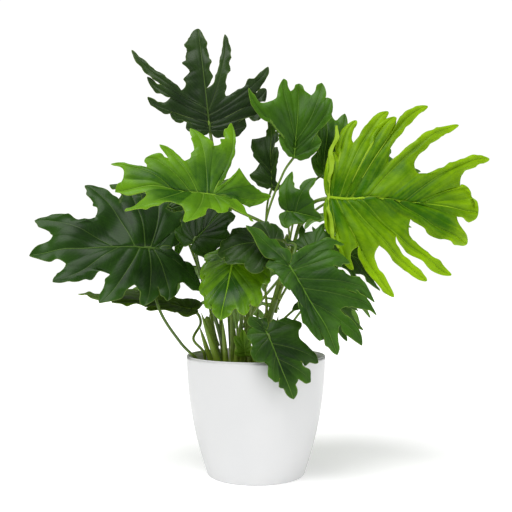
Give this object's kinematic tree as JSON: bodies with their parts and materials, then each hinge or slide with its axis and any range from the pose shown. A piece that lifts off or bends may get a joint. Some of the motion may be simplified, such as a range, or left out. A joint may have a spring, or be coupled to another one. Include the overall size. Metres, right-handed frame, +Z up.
{
  "type": "potted split-leaf philodendron",
  "caption": "House plant with deeply cut, lobed green leaves on slender stalks, standing in soil in a plain round pot that tapers to its foot.",
  "frame": {"origin": "middle of the underside of the pot, on the surface that it stands on", "axes": "+Z up, +Y away from the side that the plant is seen from, +X to that viewer's right"},
  "size_m": [0.5487, 0.3381, 0.5448],
  "materials": {
    "leaf_light": "satin",
    "leaf_mid": "satin",
    "leaf_dark": "satin",
    "stem": "satin",
    "spear": "satin",
    "soil": "rough",
    "pot": "satin"
  },
  "bodies": {
    "root": {"leaf_right_broad": "leaf_light", "leaf_left_broad": "leaf_dark", "leaf_upper_left": "leaf_light", "leaf_top_left": "leaf_dark", "leaf_front_right": "leaf_mid", "leaf_front_middle": "leaf_light", "leaf_centre_dark": "leaf_dark", "leaf_centre_left": "leaf_dark", "leaf_over_rim": "leaf_dark", "leaf_top_middle": "leaf_light", "leaf_top_right": "leaf_light", "leaf_middle_upright": "leaf_dark", "leaf_middle_small": "leaf_light", "leaf_low_left": "leaf_mid", "leaf_behind_right": "leaf_mid", "leaf_low_right": "leaf_dark", "leaf_centre_right": "leaf_dark", "leaf_right_inner": "leaf_dark", "leaf_behind_left": "leaf_dark", "leaf_left_inner": "leaf_light", "leaf_young_rim": "leaf_light", "leaf_back_left": "leaf_mid", "leaf_back_middle": "leaf_mid", "leaf_back_right": "leaf_light", "leaf_back_low_left": "leaf_dark", "leaf_back_low": "leaf_mid", "leaf_back_low_right": "leaf_mid", "stem_tall": "stem", "stem_left": "stem", "stem_back": "stem", "spear_front": "spear", "spear_tall": "spear", "soil": "soil", "pot": "pot"}
  },
  "joints": []
}
